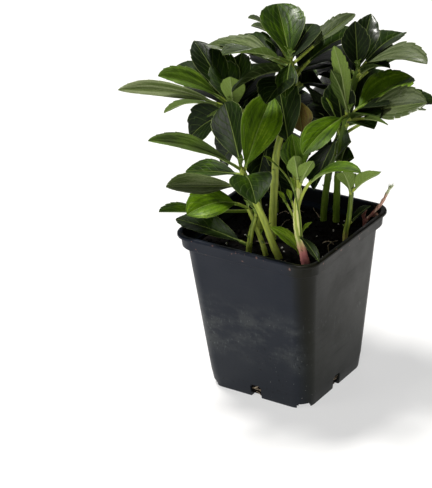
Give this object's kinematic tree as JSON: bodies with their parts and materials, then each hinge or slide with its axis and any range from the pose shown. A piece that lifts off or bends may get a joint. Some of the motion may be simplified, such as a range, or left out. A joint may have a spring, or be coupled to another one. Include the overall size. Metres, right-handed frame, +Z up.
{
  "type": "potted plant",
  "caption": "Evergreen pachysandra with whorls of toothed glossy leaves on leafy stems, standing in the soil of a square tapered nursery pot.",
  "frame": {"origin": "the middle of the pot's underside, on the surface it stands on", "axes": "+Z up, with the pot's sides along X and Y; the leafy corner with the pink stem foot is towards +X and -Y"},
  "size_m": [0.1655, 0.1587, 0.2076],
  "materials": {
    "pot": "satin dark grey, dusty",
    "soil": "moist dark potting mix",
    "dry_stem": "dry reddish brown",
    "foliage": "glossy green leaf with paler stalks"
  },
  "bodies": {
    "root": {"pot": "pot", "soil": "soil", "dry_stem": "dry_stem", "shoot_front_left": "foliage", "shoot_corner": "foliage", "shoot_low_left": "foliage", "shoot_low_front": "foliage", "shoot_crown": "foliage", "shoot_back_left": "foliage", "shoot_right": "foliage", "shoot_back_right": "foliage", "shoot_young": "foliage", "shoot_rear": "foliage"}
  },
  "joints": []
}
